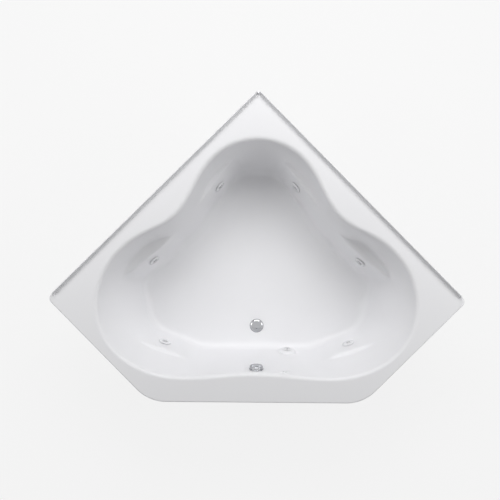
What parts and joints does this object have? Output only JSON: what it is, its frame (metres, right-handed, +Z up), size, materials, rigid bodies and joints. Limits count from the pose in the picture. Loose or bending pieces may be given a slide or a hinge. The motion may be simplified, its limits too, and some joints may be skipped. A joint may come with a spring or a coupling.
{
  "type": "corner bathtub",
  "caption": "Corner bath with a three-lobed basin, six water jets, pop-up drain, overflow knob, suction cover, air button, pipework and pump.",
  "frame": {"origin": "middle of the bounding box, on the floor", "axes": "+X to the bather's right as seen from the front edge, +Y towards the corner of the room, +Z up"},
  "size_m": [2.1302, 1.5994, 0.57],
  "materials": {
    "acrylic": "gloss white sanitary acrylic",
    "jet_white": "gloss white moulded plastic",
    "chrome": "bright chrome plate",
    "cover_white": "satin white moulded plastic",
    "pipe_white": "matt white pressure pipe",
    "hose_clear": "milky flexible pipe",
    "waste_plastic": "matt black waste plastic",
    "brass": "drawn brass tube",
    "cable_black": "black cable sheath",
    "rubber": "black rubber",
    "pump_black": "black glass-filled plastic",
    "motor_paint": "dark grey enamel",
    "steel": "bright steel",
    "winding": "varnished copper winding",
    "timber": "bare pine and board"
  },
  "bodies": {
    "bath": {"air_intake": "hose_clear", "air_pipes": "hose_clear", "base_board": "timber", "base_feet": "timber", "bath_shell": "acrylic", "button_body": "cover_white", "button_nut": "cover_white", "cable_housing": "cable_black", "cord_gland": "pump_black", "drain_flange": "chrome", "drain_gasket": "rubber", "drain_shoe": "waste_plastic", "fan_cover": "pump_black", "intake_pipe": "hose_clear", "jet_bodies": "pipe_white", "jet_fittings": "jet_white", "motor_bearings": "steel", "motor_casing": "motor_paint", "overflow_elbow": "waste_plastic", "overflow_gasket": "rubber", "overflow_pipe": "waste_plastic", "overflow_plate": "chrome", "pipe_plugs": "pipe_white", "pump_board": "timber", "pump_pads": "rubber", "pump_screws": "steel", "pump_volute": "pump_black", "rim_rails": "timber", "riser_tee": "pipe_white", "seal_plate": "pump_black", "shaft_seal": "rubber", "stator": "winding", "suction_body": "pipe_white", "suction_cover": "cover_white", "suction_fitting": "cover_white", "suction_pipe": "pipe_white", "suction_screw": "steel", "tailpiece": "brass", "terminal_box": "pump_black", "volute_bolts": "steel", "wall_gaskets": "rubber", "waste_pipe": "waste_plastic", "waste_tee": "waste_plastic", "water_pipes": "pipe_white"},
    "trim_1": {"jet_trim_1": "jet_white"},
    "nozzle_1": {"jet_nozzle_1": "jet_white"},
    "trim_2": {"jet_trim_2": "jet_white"},
    "nozzle_2": {"jet_nozzle_2": "jet_white"},
    "trim_3": {"jet_trim_3": "jet_white"},
    "nozzle_3": {"jet_nozzle_3": "jet_white"},
    "trim_4": {"jet_trim_4": "jet_white"},
    "nozzle_4": {"jet_nozzle_4": "jet_white"},
    "trim_5": {"jet_trim_5": "jet_white"},
    "nozzle_5": {"jet_nozzle_5": "jet_white"},
    "trim_6": {"jet_trim_6": "jet_white"},
    "nozzle_6": {"jet_nozzle_6": "jet_white"},
    "stopper": {"drain_stopper": "chrome"},
    "knob": {"overflow_knob": "chrome"},
    "rotor": {"motor_rotor": "steel"},
    "button": {"button_cap": "cover_white"}
  },
  "joints": [
    {"name": "trim_turn_1", "type": "hinge", "parent": "bath", "child": "trim_1", "pos_m": [0.5054, -0.52903, 0.255], "axis": [-0.3071, 0.9287, 0.2079], "range_deg": [0, 180]},
    {"name": "nozzle_tilt_1", "type": "hinge", "parent": "trim_1", "child": "nozzle_1", "pos_m": [0.5054, -0.52903, 0.255], "axis": [0.9494, 0.314, 0], "range_deg": [-15, 15]},
    {"name": "trim_turn_2", "type": "hinge", "parent": "bath", "child": "trim_2", "pos_m": [0.5684, -0.07553, 0.255], "axis": [-0.6378, -0.7416, 0.2079], "range_deg": [0, 180]},
    {"name": "nozzle_tilt_2", "type": "hinge", "parent": "trim_2", "child": "nozzle_2", "pos_m": [0.5684, -0.07553, 0.255], "axis": [-0.7581, 0.6521, 0], "range_deg": [-15, 15]},
    {"name": "trim_turn_3", "type": "hinge", "parent": "bath", "child": "trim_3", "pos_m": [0.2124, 0.33247, 0.255], "axis": [-0.7812, -0.5887, 0.2079], "range_deg": [0, 180]},
    {"name": "nozzle_tilt_3", "type": "hinge", "parent": "trim_3", "child": "nozzle_3", "pos_m": [0.2124, 0.33247, 0.255], "axis": [-0.6018, 0.7986, 0], "range_deg": [-15, 15]},
    {"name": "trim_turn_4", "type": "hinge", "parent": "bath", "child": "trim_4", "pos_m": [-0.2124, 0.33247, 0.255], "axis": [0.7812, -0.5887, 0.2079], "range_deg": [0, 180]},
    {"name": "nozzle_tilt_4", "type": "hinge", "parent": "trim_4", "child": "nozzle_4", "pos_m": [-0.2124, 0.33247, 0.255], "axis": [0.6018, 0.7986, 0], "range_deg": [-15, 15]},
    {"name": "trim_turn_5", "type": "hinge", "parent": "bath", "child": "trim_5", "pos_m": [-0.5684, -0.07553, 0.255], "axis": [0.6378, -0.7416, 0.2079], "range_deg": [0, 180]},
    {"name": "nozzle_tilt_5", "type": "hinge", "parent": "trim_5", "child": "nozzle_5", "pos_m": [-0.5684, -0.07553, 0.255], "axis": [0.7581, 0.6521, 0], "range_deg": [-15, 15]},
    {"name": "trim_turn_6", "type": "hinge", "parent": "bath", "child": "trim_6", "pos_m": [-0.5054, -0.52903, 0.255], "axis": [0.3071, 0.9287, 0.2079], "range_deg": [0, 180]},
    {"name": "nozzle_tilt_6", "type": "hinge", "parent": "trim_6", "child": "nozzle_6", "pos_m": [-0.5054, -0.52903, 0.255], "axis": [-0.9494, 0.314, 0], "range_deg": [-15, 15]},
    {"name": "overflow_turn", "type": "hinge", "parent": "bath", "child": "knob", "pos_m": [0, -0.63784, 0.4798], "axis": [0, 0.9855, 0.1694], "range_deg": [0, 100]},
    {"name": "stopper_lift", "type": "slide", "parent": "bath", "child": "stopper", "axis": [0, 0, 1], "range_m": [0, 0.012]},
    {"name": "rotor_spin", "type": "hinge", "parent": "bath", "child": "rotor", "pos_m": [0.757, -0.37273, 0.1], "axis": [0, 1, 0], "continuous": true},
    {"name": "button_press", "type": "slide", "parent": "bath", "child": "button", "axis": [-0.0859, -0.9712, -0.2222], "range_m": [0, 0.004], "stiffness_N_per_m": 300}
  ],
  "couplings": [
    {"joint": "stopper_lift", "follows": "overflow_turn", "m_per_rad": 0.006875}
  ]
}
